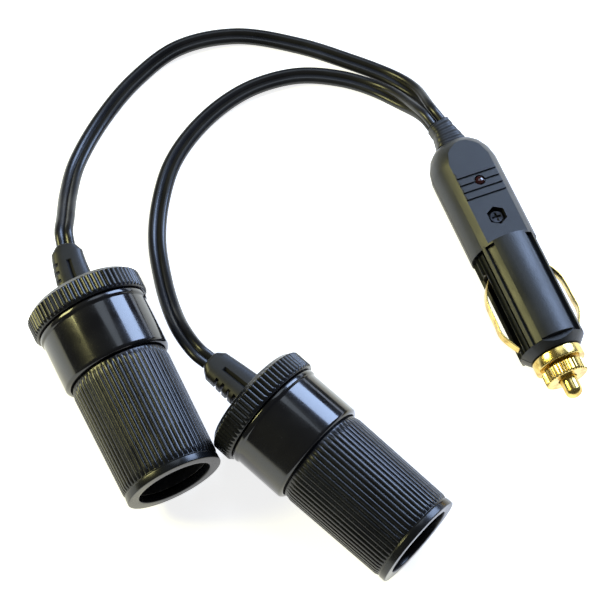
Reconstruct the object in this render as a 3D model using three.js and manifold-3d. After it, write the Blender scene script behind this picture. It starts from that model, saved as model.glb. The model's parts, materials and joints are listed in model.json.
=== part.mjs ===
// Car socket splitter: one 12 volt plug feeds two sockets through two flat twin cords.
// Millimetres, +Z up. It lies on its side on a table, and the plug points along -Y.
// Each unit (the plug and the two sockets) is drawn in a group of its own, with its axis
// along Y: "station" is the distance from the unit's rear face towards its mouth or tip,
// so a station s lies at y = -s.

import * as THREE from 'three';
import { mergeVertices } from 'three/addons/utils/BufferGeometryUtils.js';
import Module from 'manifold-3d';

const wasm = await Module();
wasm.setup();

// Fits
const seatGap = 0.3; // between pieces that touch or rest on each other
const boreGap = 0.3; // round a shaft or sleeve that slides in or screws into a bore
const seamLap = 0.03; // how far roots of ribs and teeth stand over the core that carries them

// Socket: the bore takes a standard 21 mm lighter plug
const bore = 21.4;
const capRadius = 17.2;
const capLength = 7.3;
const capBackWall = 2.2;
const capSkirt = 2.9;
const capEdge = 1.3;
const capTeeth = 66;
const capToothDepth = 0.5;
const collarRadius = 15.75;
const collarLength = 17.5;
const collarWall = 1.4;
const collarBeadHeight = 0.45;
const collarBeadLength = 1.3;
const collarEdge = 0.7;
const collarShoulder = 2.4;
const spigotWall = 1.4;
const spigotLength = 4.2;
const barrelLength = 36.4; // the part of the barrel that shows below the collar
const barrelRadius = 14.6; // rib tops beside the collar
const barrelTaper = 0.45; // how much the radius shrinks by the mouth
const ribCount = 58;
const ribHeight = 0.42;
const ribShare = 0.62; // share of the pitch that is raised
const ribStart = 1.1; // plain band between collar and ribs
const ribStop = 2.3; // plain band between ribs and mouth
const lipLength = 2.2;
const lipRound = 1.0;
const lipRise = 0.3; // height of the lip over the rib roots
const linerWall = 0.5;
const linerFloorStation = 12.0;
const linerFloorHole = 4.4;
const insulatorThickness = 1.6;
const buttonRadius = 3.4;
const buttonHeight = 0.9;
const rivetRadius = 1.3;
const rivetTail = 1.2;
const washerRadius = 3.9;
const washerThickness = 0.6;
const tabWidth = 4.0;
const tabLength = 4.2;
const tabThickness = 0.5;
const tabOffset = 7.6; // from the socket's axis
const socketBootLength = 15.4;
const socketBootBase = 11.2;
const socketBootEntry = 5.4;
const socketBootHeight = 8.4;
const bootSlotCount = 4;
const bootSlotStart = 2.2;
const bootSlotWidth = 0.9;
const bootSlotDepth = 1.1;
const bootSlotPitch = 2.3;
const bootLineWidth = 0.7; // groove along the boot, between the two wires
const bootLineDepth = 1.3;
const bootLineEnds = [1.5, 9.5];
const bootNeckRadius = 3.9;
const bootFlangeRadius = 5.6;
const bootFlangeThickness = 1.5;

// Plug: the body runs with clearance in a 21 mm bore
const plugRadius = 10.3;
const plugLength = 71.8;
const tailRadius = 4.6; // rear end face
const tailLength = 9.0; // length over which the rear end rounds up to full size
const noseRadius = 7.7;
const facetHeight = 8.15; // flat top, from the axis
const facetEnd = 36.2;
const padStart = 12.2;
const padBarCount = 4;
const padPitch = 2.43;
const padGroove = 0.7;
const padRise = 0.55;
const padWidth = 12.6;
const plateHalfAngle = 29; // raised arc plate, degrees from the top
const plateSetback = 2.8; // from the plate's front end to the nose
const channelFloor = 9.0;
const channelMinAngle = 8; // a wider step between two outline points holds a channel
const wallAngle = 0.6; // slope of a channel's walls, in degrees round the axis
const finAngle = 49;
const finHalfAngle = 3.1;
const sideHalfAngle = 33;
const sideRadius = 9.9;
const noseTaper = 2.4; // length over which the sides slope in to the nose
const ledStation = 16.8;
const ledRadius = 1.5;
const ledFlange = 1.9;
const ledDome = 0.35;
const ledCover = 1.2; // wall of the shell over the lens's flange
const ledGap = 0.15; // half the play of the lens in its hole
const resistorRadius = 0.9;
const resistorLength = 4.6;
const screwStation = 28.8;
const screwShank = 1.0;
const screwHeadRadius = 1.9;
const screwHeadHeight = 1.3;
const crossWidth = 0.55;
const crossDepth = 0.7;
const hexAcross = 6.0; // corner to corner
const hexDepth = 2.6;
const postRadius = 3.3;
const chamberRadius = 6.7;
const chamberStart = 4.6;
const chamberEnd = 34.6;
const fuseLength = 30.0;
const fuseRadius = 3.2;
const fuseCapLength = 5.7;
const fuseGlassRadius = 2.8;
const springWire = 0.8;
const springTurns = 5;
const rearPlateThickness = 0.5;
const rearStemRadius = 1.2;
const rearStemLength = 2.4;
const pinRadius = 2.5;
const pinReach = 5.9; // beyond the tip cap
const pinFlangeThickness = 1.4;
const capFaceThickness = 1.4;
const knurlRadius = 6.3;
const knurlLength = 3.8;
const knurlTeeth = 40;
const knurlDepth = 0.35;
const neckRadius = 5.2;
const neckLength = 0.4;
const capSpigotLength = 7.4;
const capSpigotWall = 1.0;
const bushRadius = 7.5;
const bushLength = 3.2;
const bushSleeveWall = 1.0;
const bushSleeveLength = 3.7;
const ringThickness = 0.6;
const ringRadius = 8.6;
const stripWidth = 2.0;
const stripThickness = 0.5;
const stripDepth = 5.2; // its upper face, below the axis
const contactWidth = 3.2;
const contactThickness = 0.5;
const contactReach = 12.4; // outermost point, from the axis
const pocketLength = 24.6;
const pocketFloor = 4.5;
const pocketHeight = 4.2;
const plugBootLength = 8.2;
const plugBootEntry = 7.0;
const plugBootBase = 10.2;
const plugBootHeight = 7.0;
const plugNeckRadius = 3.6;
const plugGrooveStart = 2.4;
const plugGroovePitch = 1.8;
const plugGrooveWidth = 0.5;

// Cords: flat twin flex, its two round lobes side by side
const lobeRadius = 1.35;
const cordWidth = 4 * lobeRadius;
const cordSteps = 40;
const cordGapInBoot = 3.3; // between the two cords where they leave the plug on edge
const wireRadius = 0.9;

// Places on the table, and how far each unit is turned from -Y (degrees)
const leftSocketPlace = { x: -55.48, y: 46.29, turn: 4.3 };
const rightSocketPlace = { x: -22.3, y: -0.4, turn: 25.5 };
const plugPlace = { x: 62.68, y: 53.05, turn: 0 };
const plugRoll = 5; // the plug lies rolled a little about its axis
const leftBootBend = 2.3; // sideways shift of a boot's end, towards +X
const rightBootBend = -0.4;
const plugBootBend = -0.95;

// Derived stations
const socketLength = capLength + collarLength + barrelLength;
const collarEnd = capLength + collarLength;
const neckOuter = collarRadius - collarWall - boreGap;
const linerOuter = bore / 2 + linerWall;
const barrelInner = linerOuter + boreGap;
const mouthRadius = barrelRadius - barrelTaper;
const lipRadius = mouthRadius - ribHeight + lipRise;
const collarBack = capLength + seatGap;
const barrelBack = collarBack + collarShoulder + seatGap;
const fuseBore = fuseRadius + boreGap + 0.1;
const tipCapBack = plugLength + seatGap + bushLength + seatGap;
const tipCapFront = tipCapBack + neckLength + knurlLength;
const flangeFront = tipCapFront - capFaceThickness - seatGap;
const fuseFront = flangeFront - pinFlangeThickness - seatGap;
const fuseBack = fuseFront - fuseLength;
const capSpigotInner = fuseBore;
const capSpigotOuter = capSpigotInner + capSpigotWall;
const bushInner = capSpigotOuter + boreGap;
const bushOuter = bushInner + bushSleeveWall;
const plateEnd = plugLength - plateSetback;
const frontEnd = plugLength - noseTaper;
const sleeveBack = plugLength - bushSleeveLength;
const ringFront = sleeveBack - seatGap;
const ringBack = ringFront - ringThickness;
const pocketStart = ringBack - pocketLength;
const chamberLength = chamberEnd - chamberStart;
const plateStation = chamberEnd + 1.0;

const degrees = THREE.MathUtils.degToRad;

// Finishes
const finish = (color, roughness, metalness = 0) => ({ color, roughness, metalness });
const blackMoulding = finish(0x17181a, 0.5);
const glossMoulding = finish(0x0c0c0e, 0.22);
const grainedMoulding = finish(0x1e2022, 0.62);
const rubber = finish(0x232425, 0.6);
const cordSheath = finish(0x101012, 0.38);
const brass = finish(0xd8b24a, 0.22, 1);
const steel = finish(0x9a9da0, 0.35, 1);
const nickel = finish(0xb9bcbf, 0.25, 1);
const glass = finish(0xdfe8ea, 0.05);
const redLens = finish(0x3a0d0c, 0.12);
const fibre = finish(0x8a5a34, 0.7);
const resistorBody = finish(0xb59a6d, 0.5);
const redWire = finish(0x8c1c18, 0.45);
const blackWire = finish(0x151516, 0.45);

// Solids: a closed three.js geometry becomes a solid that can be joined and cut
function solid(geometry) {
  const bare = geometry.clone();
  for (const name of Object.keys(bare.attributes)) {
    if (name !== 'position') bare.deleteAttribute(name);
  }
  const merged = mergeVertices(bare, 1e-4);
  const kept = [];
  const index = merged.index.array;
  for (let i = 0; i < index.length; i += 3) {
    const [a, b, c] = [index[i], index[i + 1], index[i + 2]];
    if (a !== b && b !== c && c !== a) kept.push(a, b, c);
  }
  const position = merged.attributes.position;
  if (signedVolume(position, kept) < 0) kept.reverse();
  return new wasm.Manifold(new wasm.Mesh({
    numProp: 3,
    vertProperties: new Float32Array(position.array),
    triVerts: new Uint32Array(kept),
  }));
}

// Six times the volume inside the triangles, negative when they face inwards
function signedVolume(position, index) {
  const [a, b, c] = [new THREE.Vector3(), new THREE.Vector3(), new THREE.Vector3()];
  let sum = 0;
  for (let i = 0; i < index.length; i += 3) {
    a.fromBufferAttribute(position, index[i]);
    b.fromBufferAttribute(position, index[i + 1]);
    c.fromBufferAttribute(position, index[i + 2]);
    sum += a.dot(b.cross(c));
  }
  return sum;
}

function join(...solids) {
  return solids.reduce((whole, piece) => whole.add(piece));
}

function cut(whole, ...tools) {
  return tools.reduce((rest, tool) => rest.subtract(tool), whole);
}

// A named mesh of one solid in its finish
function piece(name, look, shape) {
  const { vertProperties, triVerts } = shape.getMesh();
  const geometry = new THREE.BufferGeometry();
  geometry.setAttribute('position', new THREE.BufferAttribute(new Float32Array(vertProperties), 3));
  geometry.setIndex(new THREE.BufferAttribute(new Uint32Array(triVerts), 1));
  geometry.computeVertexNormals();
  const mesh = new THREE.Mesh(geometry, new THREE.MeshStandardMaterial(look));
  mesh.name = name;
  return mesh;
}

// Turned solid round the unit's axis, from [radius, station] pairs
function turned(profile, segments = 32) {
  const points = profile.map(([radius, station]) => new THREE.Vector2(radius, -station));
  return solid(new THREE.LatheGeometry(points, segments));
}

// Tube or disc between two stations; an inner radius of 0 makes it solid
function sleeve(outer, inner, from, to, segments = 32) {
  const profile = [[inner, from], [outer, from], [outer, to], [inner, to]];
  if (inner > 0) profile.push([inner, from]);
  return turned(profile, segments);
}

function block(x0, x1, s0, s1, z0, z1) {
  const geometry = new THREE.BoxGeometry(x1 - x0, s1 - s0, z1 - z0);
  geometry.translate((x0 + x1) / 2, -(s0 + s1) / 2, (z0 + z1) / 2);
  return solid(geometry);
}

// Upright round post or hole, between two heights
function upright(radius, x, station, z0, z1, segments = 20) {
  const geometry = new THREE.CylinderGeometry(radius, radius, z1 - z0, segments);
  geometry.rotateX(Math.PI / 2);
  geometry.translate(x, -station, (z0 + z1) / 2);
  return solid(geometry);
}

// Outline in the X-Z plane, extruded along the axis between two stations
function extruded(shape, from, to, steps = 1, curveSegments = 8) {
  const geometry = new THREE.ExtrudeGeometry(shape, {
    depth: to - from, steps, bevelEnabled: false, curveSegments,
  });
  geometry.rotateX(Math.PI / 2);
  geometry.translate(0, -from, 0);
  return geometry;
}

// Ring of teeth outside a hole: each tooth has a flat or sharp top and a sharp root
function toothedRing(outer, depth, teeth, topShare, hole) {
  const shape = new THREE.Shape();
  const pitch = (2 * Math.PI) / teeth;
  for (let i = 0; i < teeth; i++) {
    const centre = i * pitch;
    const tops = topShare > 0 ? [-topShare / 2, topShare / 2] : [0];
    for (const t of tops) {
      const a = centre + t * pitch;
      if (i === 0 && t === tops[0]) shape.moveTo(outer * Math.cos(a), outer * Math.sin(a));
      else shape.lineTo(outer * Math.cos(a), outer * Math.sin(a));
    }
    const root = centre + pitch / 2;
    shape.lineTo((outer - depth) * Math.cos(root), (outer - depth) * Math.sin(root));
  }
  shape.closePath();
  const inside = new THREE.Path();
  inside.absarc(0, 0, hole, 0, 2 * Math.PI, true);
  shape.holes.push(inside);
  return shape;
}

// Rounded rectangle, wide in X and high in Z
function roundedBox(width, height, round) {
  const [w, h] = [width / 2, height / 2];
  const shape = new THREE.Shape();
  shape.moveTo(-w + round, -h);
  shape.lineTo(w - round, -h);
  shape.absarc(w - round, -h + round, round, -Math.PI / 2, 0, false);
  shape.lineTo(w, h - round);
  shape.absarc(w - round, h - round, round, 0, Math.PI / 2, false);
  shape.lineTo(-w + round, h);
  shape.absarc(-w + round, h - round, round, Math.PI / 2, Math.PI, false);
  shape.lineTo(-w, -h + round);
  shape.absarc(-w + round, -h + round, round, Math.PI, 1.5 * Math.PI, false);
  return shape;
}

// Moves every vertex of a geometry by a function of its place
function reshape(geometry, move) {
  const position = geometry.attributes.position;
  const point = new THREE.Vector3();
  for (let i = 0; i < position.count; i++) {
    point.fromBufferAttribute(position, i);
    move(point);
    position.setXYZ(i, point.x, point.y, point.z);
  }
  return geometry;
}

// Strain relief boot: a rounded block from the rear face (station 0) back to the cord's
// entry, wider at its base, bent sideways by a parabola
function bootBlock({ length, base, entry, height, entryHeight, bend, taper }) {
  const geometry = extruded(roundedBox(1, 1, 0.24), -length, 0, 5, 2);
  return solid(reshape(geometry, (p) => {
    const t = p.y / length;
    const w = taper(t);
    const lean = Math.atan((2 * bend * t) / length);
    const across = p.x * (base * (1 - w) + entry * w);
    p.x = bend * t * t + across * Math.cos(lean);
    p.y -= across * Math.sin(lean);
    p.z *= height * (1 - t) + entryHeight * t;
  }));
}

// Where a bent boot ends, and which way it points there
function bootEnd(length, bend) {
  return {
    point: new THREE.Vector3(bend, length, 0),
    direction: new THREE.Vector3(2 * bend, length, 0).normalize(),
  };
}

// Sockets

function socketCap(name) {
  const inner = capRadius - capSkirt;
  const root = capRadius - capToothDepth;
  const shell = turned([
    [0, 0], [root - capEdge, 0], [root, capEdge], [root, capLength],
    [inner, capLength], [inner, capBackWall], [0, capBackWall],
  ], 24);
  const teeth = solid(extruded(
    toothedRing(capRadius, capToothDepth - seamLap, capTeeth, 0, root - 1), capEdge, capLength - 0.5));
  const hole = sleeve(bootNeckRadius + boreGap, 0, -1, capBackWall + 1, 20);
  return piece(name, blackMoulding, cut(join(shell, teeth), hole));
}

function socketCollar(name) {
  const inner = collarRadius - collarWall;
  const spigotOuter = capRadius - capSkirt - boreGap;
  const spigotInner = spigotOuter - spigotWall;
  const bead = collarRadius + collarBeadHeight;
  return piece(name, glossMoulding, turned([
    [spigotInner, collarBack - spigotLength], [spigotOuter, collarBack - spigotLength],
    [spigotOuter, collarBack], [bead, collarBack], [bead, collarBack + collarBeadLength],
    [collarRadius, collarBack + collarBeadLength + 0.4],
    [collarRadius, collarEnd - collarEdge], [collarRadius - collarEdge, collarEnd],
    [inner, collarEnd], [inner, collarBack + collarShoulder],
    [spigotInner, collarBack + collarShoulder], [spigotInner, collarBack - spigotLength],
  ], 30));
}

function socketBarrel(name) {
  const root = barrelRadius - ribHeight;
  const bandStation = collarEnd + seatGap;
  const tube = turned([
    [barrelInner, barrelBack], [neckOuter, barrelBack], [neckOuter, bandStation],
    [root, bandStation], [root - barrelTaper, socketLength - ribStop],
    [lipRadius, socketLength - ribStop + lipRise], [lipRadius, socketLength - lipRound],
    [lipRadius - lipRound, socketLength],
    [bore / 2 + lipRound / 2, socketLength], [bore / 2, socketLength - lipRound / 2],
    [bore / 2, socketLength - lipLength], [barrelInner, socketLength - lipLength],
    [barrelInner, barrelBack],
  ], 24);
  const from = collarEnd + ribStart;
  const to = socketLength - ribStop;
  const ribs = extruded(toothedRing(barrelRadius, ribHeight - seamLap, ribCount, ribShare,
    (barrelInner + neckOuter) / 2), from, to);
  reshape(ribs, (p) => {
    const t = (-p.y - collarEnd) / barrelLength;
    const reach = Math.hypot(p.x, p.z);
    const shrink = reach > neckOuter - 0.5 ? (reach - barrelTaper * t) / reach : 1;
    p.x *= shrink;
    p.z *= shrink;
  });
  return piece(name, blackMoulding, join(tube, solid(ribs)));
}

function socketLiner(name) {
  const end = socketLength - lipLength - seatGap;
  const [inner, floor] = [bore / 2, linerFloorStation];
  return piece(name, nickel, turned([
    [linerFloorHole, floor], [linerOuter, floor], [linerOuter, end], [inner, end],
    [inner, floor + linerWall], [linerFloorHole, floor + linerWall], [linerFloorHole, floor],
  ], 24));
}

function socketInsulator(name) {
  const back = linerFloorStation + linerWall + seatGap;
  return piece(name, fibre, sleeve(
    bore / 2 - boreGap, rivetRadius + boreGap, back, back + insulatorThickness, 20));
}

function socketWasher(name) {
  const front = linerFloorStation - seatGap;
  return piece(name, fibre, sleeve(
    washerRadius + linerFloorHole / 2, rivetRadius + boreGap, front - washerThickness, front, 20));
}

// Centre contact: button, shank and riveted tail in one
function socketCentre(name) {
  const buttonBack = linerFloorStation + linerWall + insulatorThickness + 2 * seatGap;
  const tailFront = linerFloorStation - 2 * seatGap - washerThickness;
  return piece(name, brass, turned([
    [0, tailFront - rivetTail], [2.4, tailFront - rivetTail], [2.4, tailFront],
    [rivetRadius, tailFront], [rivetRadius, buttonBack], [buttonRadius, buttonBack],
    [buttonRadius, buttonBack + buttonHeight * 0.5],
    [buttonRadius - 0.8, buttonBack + buttonHeight], [0, buttonBack + buttonHeight],
  ], 16));
}

// Ground tab: a folded strip on the back of the liner's floor
function socketTab(name) {
  const front = linerFloorStation - seatGap;
  const [x0, x1] = [-tabWidth / 2, tabWidth / 2];
  const foot = block(x0, x1, front - tabThickness, front, -tabOffset - 1.6, -tabOffset + 0.5);
  const blade = block(x0, x1, front - tabLength, front, -tabOffset, -tabOffset + tabThickness);
  return piece(name, nickel, join(foot, blade));
}

// Boot with a neck through the cap's wall and a flange behind it
function socketBoot(name, bend) {
  const outer = bootBlock({
    length: socketBootLength, base: socketBootBase, entry: socketBootEntry,
    height: socketBootHeight, entryHeight: cordWidth + 0.6, bend,
    taper: (t) => (t < 0.85 ? 0.45 * t : 0.3825 + (t - 0.85) * 4.1),
  });
  const grooves = [];
  for (let i = 0; i < bootSlotCount; i++) {
    const y = bootSlotStart + i * bootSlotPitch;
    const t = (y + bootSlotWidth / 2) / socketBootLength;
    const half = socketBootBase / 2 - 1.3 * t;
    const side = -half + bootSlotDepth + bend * t * t;
    grooves.push(block(-socketBootBase, side, -y - bootSlotWidth, -y, -9, 9));
  }
  const [half, top] = [bootLineWidth / 2, socketBootHeight / 2];
  const [near, far] = bootLineEnds;
  grooves.push(block(-half, half, -far, -near, top - bootLineDepth, top + 2));
  grooves.push(block(-half, half, -far, -near, -top - 2, -top + bootLineDepth));
  const neck = sleeve(bootNeckRadius, 0, -0.5, capBackWall + seatGap + 0.2, 20);
  const flange = sleeve(bootFlangeRadius, 0, capBackWall + seatGap,
    capBackWall + seatGap + bootFlangeThickness, 20);
  const back = outer.translate([0, seatGap, 0]);
  return piece(name, rubber, join(cut(back, ...grooves), neck, flange));
}

// Short inner wires from the boot's flange to a contact, along a smooth curve
function innerWire(name, look, points) {
  const curve = new THREE.CatmullRomCurve3(points.map(([x, s, z]) => new THREE.Vector3(x, -s, z)));
  const section = new THREE.Shape();
  section.absarc(0, 0, wireRadius, 0, 2 * Math.PI, false);
  return piece(name, look, solid(new THREE.ExtrudeGeometry(section, {
    steps: 6, curveSegments: 3, bevelEnabled: false, extrudePath: curve,
  })));
}

function socketWires(side) {
  const start = capBackWall + bootFlangeThickness + 2 * seatGap;
  const tail = linerFloorStation - 3 * seatGap - washerThickness - rivetTail;
  const tabSide = -tabOffset + tabThickness + seatGap + wireRadius;
  return [
    innerWire(`${side}_live_wire`, redWire, [
      [1.6, start, 1.5], [1.6, start + 0.7, 1.5], [1.5, start + 2, 1.3], [0.7, tail - 1.6, 0.6],
      [0, tail - 0.6, 0], [0, tail, 0]]),
    innerWire(`${side}_ground_wire`, blackWire, [
      [-1.6, start, -1.4], [-1.6, start + 0.7, -1.5], [-1.4, start + 2, -3.4],
      [-0.5, start + 3.4, tabSide + 0.3], [0, start + 5.2, tabSide]]),
  ];
}

function socketUnit(side, place, bend) {
  const unit = new THREE.Group();
  unit.add(
    socketCap(`${side}_end_cap`), socketCollar(`${side}_collar`),
    socketBarrel(`${side}_barrel`), socketLiner(`${side}_liner`),
    socketInsulator(`${side}_insulator`), socketWasher(`${side}_rear_washer`),
    socketCentre(`${side}_centre_contact`), socketTab(`${side}_ground_tab`),
    socketBoot(`${side}_strain_relief`, bend), ...socketWires(side));
  unit.rotation.order = 'ZXY';
  unit.rotation.x = Math.atan2(capRadius - mouthRadius, socketLength - capLength);
  setDown(unit, place);
  return unit;
}

// Turns a unit about Z, moves it to its place and lowers it onto the table
function setDown(unit, place) {
  unit.rotation.z = degrees(place.turn);
  unit.position.set(place.x, place.y, 0);
  unit.updateMatrixWorld(true);
  unit.position.z = -new THREE.Box3().setFromObject(unit, true).min.z;
  unit.updateMatrixWorld(true);
}

// Plug

// Outline of the body's front half: a raised plate at top and bottom, a fin beside each
// and a flank at each side, with channels between them
function frontOutline() {
  const steps = [
    [0, plateHalfAngle, plugRadius, 4],
    [finAngle - finHalfAngle, finAngle + finHalfAngle, plugRadius, 1],
    [90 - sideHalfAngle, 90, sideRadius, 3],
  ];
  const quarter = [];
  for (const [from, to, radius, count] of steps) {
    for (let i = 0; i <= count; i++) quarter.push([from + ((to - from) * i) / count, radius]);
  }
  const floored = [];
  quarter.forEach(([angle, radius], i) => {
    const next = quarter[i + 1];
    floored.push([angle, radius]);
    const channel = next && (next[1] !== radius || next[0] - angle > channelMinAngle);
    if (channel) {
      floored.push([angle + wallAngle, channelFloor], [next[0] - wallAngle, channelFloor]);
    }
  });
  const mirrored = [...floored].reverse().slice(1).map(([angle, radius]) => [180 - angle, radius]);
  const half = [...floored, ...mirrored];
  const other = [...half].reverse().slice(1, -1).map(([angle, radius]) => [360 - angle, radius]);
  const shape = new THREE.Shape();
  [...half, ...other].forEach(([angle, radius], i) => {
    const a = degrees(90 - angle);
    if (i === 0) shape.moveTo(radius * Math.cos(a), radius * Math.sin(a));
    else shape.lineTo(radius * Math.cos(a), radius * Math.sin(a));
  });
  shape.closePath();
  return shape;
}

// The body's outside, before it is split into two shells
function plugOutside() {
  const rear = turned([
    [0, 0], [tailRadius, 0], [tailRadius + 2.0, 0.9], [tailRadius + 3.6, 2.6],
    [plugRadius - 0.7, 5.4], [plugRadius, tailLength], [plugRadius, facetEnd + 0.6],
    [0, facetEnd + 0.6],
  ], 28);
  const front = solid(extruded(frontOutline(), facetEnd, frontEnd));
  const noseCore = turned([
    [0, facetEnd], [channelFloor, facetEnd], [channelFloor + 0.1, frontEnd - 0.4],
    [sideRadius, frontEnd], [noseRadius, plugLength], [0, plugLength],
  ], 28);
  const plateRelief = [1, -1].map((up) => block(-plugRadius * Math.sin(degrees(plateHalfAngle)) - 0.3,
    plugRadius * Math.sin(degrees(plateHalfAngle)) + 0.3, plateEnd, plugLength + 1,
    up > 0 ? channelFloor - 0.4 : -plugRadius - 1, up > 0 ? plugRadius + 1 : -channelFloor + 0.4));
  const facets = [1, -1].map((up) => block(-plugRadius, plugRadius, -1, facetEnd,
    up > 0 ? facetHeight : -plugRadius - 1, up > 0 ? plugRadius + 1 : -facetHeight));
  return cut(join(rear, front, noseCore), ...facets, ...plateRelief);
}

// Grip pad: raised bars across the flat top
function gripPad() {
  const bars = [];
  for (let i = 0; i < padBarCount; i++) {
    const from = padStart + i * padPitch + padGroove / 2;
    const to = from + padPitch - padGroove;
    const shape = roundedBox(padWidth, padRise * 2, padRise * 0.5);
    const bar = solid(extruded(shape, from, to, 1, 1));
    bars.push(bar.translate([0, 0, facetHeight]));
  }
  return bars;
}

function plugCavities() {
  const neckHole = sleeve(plugNeckRadius + boreGap, 0, -1, chamberStart - 1.8, 24);
  const chamber = sleeve(chamberRadius, 0, chamberStart - 2.0, chamberEnd, 24);
  const fuseTube = sleeve(fuseBore, 0, plateStation - seatGap, sleeveBack, 24);
  const stemHole = sleeve(rearStemRadius + boreGap, 0, chamberEnd - 1, plateStation, 16);
  const ringSeat = sleeve(ringRadius + boreGap, 0, ringBack - seatGap, sleeveBack, 32);
  const sleeveHole = sleeve(bushOuter + boreGap, 0, sleeveBack - 0.1, plugLength + 1, 32);
  const stripSlot = block(-stripWidth / 2 - boreGap, stripWidth / 2 + boreGap,
    chamberEnd - 1, ringBack, -stripDepth - stripThickness - boreGap, -stripDepth + boreGap);
  return [neckHole, chamber, fuseTube, stemHole, ringSeat, sleeveHole, stripSlot];
}

function contactPockets() {
  return [1, -1].map((side) => {
    const [a, b] = [side * pocketFloor, side * (plugRadius + 3)];
    return block(Math.min(a, b), Math.max(a, b), pocketStart, ringBack,
      -pocketHeight / 2, pocketHeight / 2);
  });
}

function hexRecess() {
  const geometry = new THREE.CylinderGeometry(hexAcross / 2, hexAcross / 2, hexDepth + 2, 6);
  geometry.rotateX(Math.PI / 2);
  geometry.translate(0, -screwStation, facetHeight - hexDepth + (hexDepth + 2) / 2);
  return solid(geometry);
}

function plugShell(upper) {
  const far = 2 * plugRadius;
  const half = upper
    ? block(-far, far, -far, plugLength + far, seatGap / 2, far)
    : block(-far, far, -far, plugLength + far, -far, -seatGap / 2);
  let body = cut(plugOutside(), ...plugCavities(), ...contactPockets());
  const post = upright(postRadius, 0, screwStation, -facetHeight + 0.5, facetHeight - 0.5);
  body = join(body, post).intersect(half);
  body = cut(body, upright(screwShank + boreGap, 0, screwStation, -facetHeight + 2, 10, 16));
  if (!upper) return piece('plug_lower_shell', grainedMoulding, body);
  body = cut(join(body, ...gripPad()), hexRecess(),
    upright(ledRadius + ledGap, 0, ledStation, 2, 12, 16),
    upright(ledFlange + boreGap, 0, ledStation, 2, facetHeight - ledCover, 16));
  return piece('plug_upper_shell', grainedMoulding, body);
}

// Screw with a cross slot, its head at the bottom of the hexagon
function plugScrew() {
  const seat = facetHeight - hexDepth + seatGap;
  const top = seat + screwHeadHeight;
  const head = upright(screwHeadRadius, 0, screwStation, seat, top, 20);
  const shank = upright(screwShank, 0, screwStation, -facetHeight + 2.4, seat + 0.1, 12);
  const reach = screwHeadRadius * 0.72;
  const cross = [[reach, crossWidth / 2], [crossWidth / 2, reach]].map(([x, s]) => block(
    -x, x, screwStation - s, screwStation + s, top - crossDepth, top + 1));
  return piece('plug_screw', steel, cut(join(head, shank), ...cross));
}

function led() {
  const flangeTop = facetHeight - ledCover - seatGap;
  const top = facetHeight + padRise;
  const radius = ledRadius - ledGap;
  const lens = upright(radius, 0, ledStation, flangeTop - 0.2, top - ledDome, 20);
  const dome = new THREE.SphereGeometry(radius, 12, 6);
  dome.scale(1, 1, (2 * ledDome) / radius);
  dome.translate(0, -ledStation, top - ledDome);
  const flange = upright(ledFlange, 0, ledStation, flangeTop - 1, flangeTop, 20);
  return piece('led_lens', redLens, join(lens, solid(dome), flange));
}

// Resistor under the light, its body along the plug's axis
function resistor() {
  const z = facetHeight - 2.2 - 2 * seatGap - resistorRadius;
  const [from, to] = [ledStation - resistorLength / 2, ledStation + resistorLength / 2];
  const shape = turned([
    [0, from - 1.5], [0.3, from - 1.5], [0.3, from], [resistorRadius, from],
    [resistorRadius, to], [0.3, to], [0.3, to + 1.5], [0, to + 1.5],
  ], 12);
  return piece('led_resistor', resistorBody, shape.translate([0, 0, z]));
}

function plugBoot() {
  const outer = bootBlock({
    length: plugBootLength, base: plugBootBase, entry: plugBootEntry,
    height: plugBootHeight, entryHeight: cordWidth + 0.8, bend: plugBootBend,
    taper: (t) => Math.min(1, 0.2 + 1.3 * t),
  }).translate([0, seatGap, 0]);
  const grooves = [0, 1, 2].map((i) => {
    const y = plugGrooveStart + i * plugGroovePitch;
    return block(-plugBootBase / 2 + 0.7, plugBootBase / 2 - 0.7, -y - plugGrooveWidth, -y,
      plugBootHeight / 2 - plugGrooveWidth, plugBootHeight);
  });
  const neck = sleeve(plugNeckRadius, 0, -0.5, chamberStart - 1.6, 20);
  const flange = sleeve(bootFlangeRadius, 0, chamberStart - 1.7, chamberStart - 0.4, 20);
  return piece('plug_strain_relief', rubber, join(cut(outer, ...grooves), neck, flange));
}

// Fuse: glass tube with a metal cup on each end
function fuse() {
  const wall = 0.35;
  const glassFrom = fuseBack + wall + seatGap;
  const glassTo = fuseFront - wall - seatGap;
  const cup = (open, shut) => {
    const inside = shut + Math.sign(open - shut) * wall;
    return turned([
      [0, shut], [fuseRadius, shut], [fuseRadius, open], [fuseGlassRadius + 0.15, open],
      [fuseGlassRadius + 0.15, inside], [0, inside],
    ], 20);
  };
  return [
    piece('fuse_glass', glass, sleeve(
      fuseGlassRadius - 0.15, fuseGlassRadius - 0.8, glassFrom, glassTo, 20)),
    piece('fuse_cap_rear', nickel, cup(fuseBack + fuseCapLength, fuseBack)),
    piece('fuse_cap_front', nickel, cup(fuseFront - fuseCapLength, fuseFront)),
  ];
}

// Coil spring between the rear contact and the fuse
function fuseSpring() {
  const from = plateStation + rearPlateThickness + seatGap + springWire / 2;
  const to = fuseBack - seatGap - springWire / 2;
  const radius = fuseRadius - springWire / 2 - 0.2;
  class Coil extends THREE.Curve {
    getPoint(t, target = new THREE.Vector3()) {
      const a = t * springTurns * 2 * Math.PI;
      return target.set(radius * Math.cos(a), -(from + (to - from) * t), radius * Math.sin(a));
    }
  }
  const wire = new THREE.Shape();
  wire.absarc(0, 0, springWire / 2, 0, 2 * Math.PI, false);
  return piece('fuse_spring', steel, solid(new THREE.ExtrudeGeometry(wire, {
    steps: springTurns * 8, curveSegments: 2, bevelEnabled: false, extrudePath: new Coil(),
  })));
}

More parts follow.
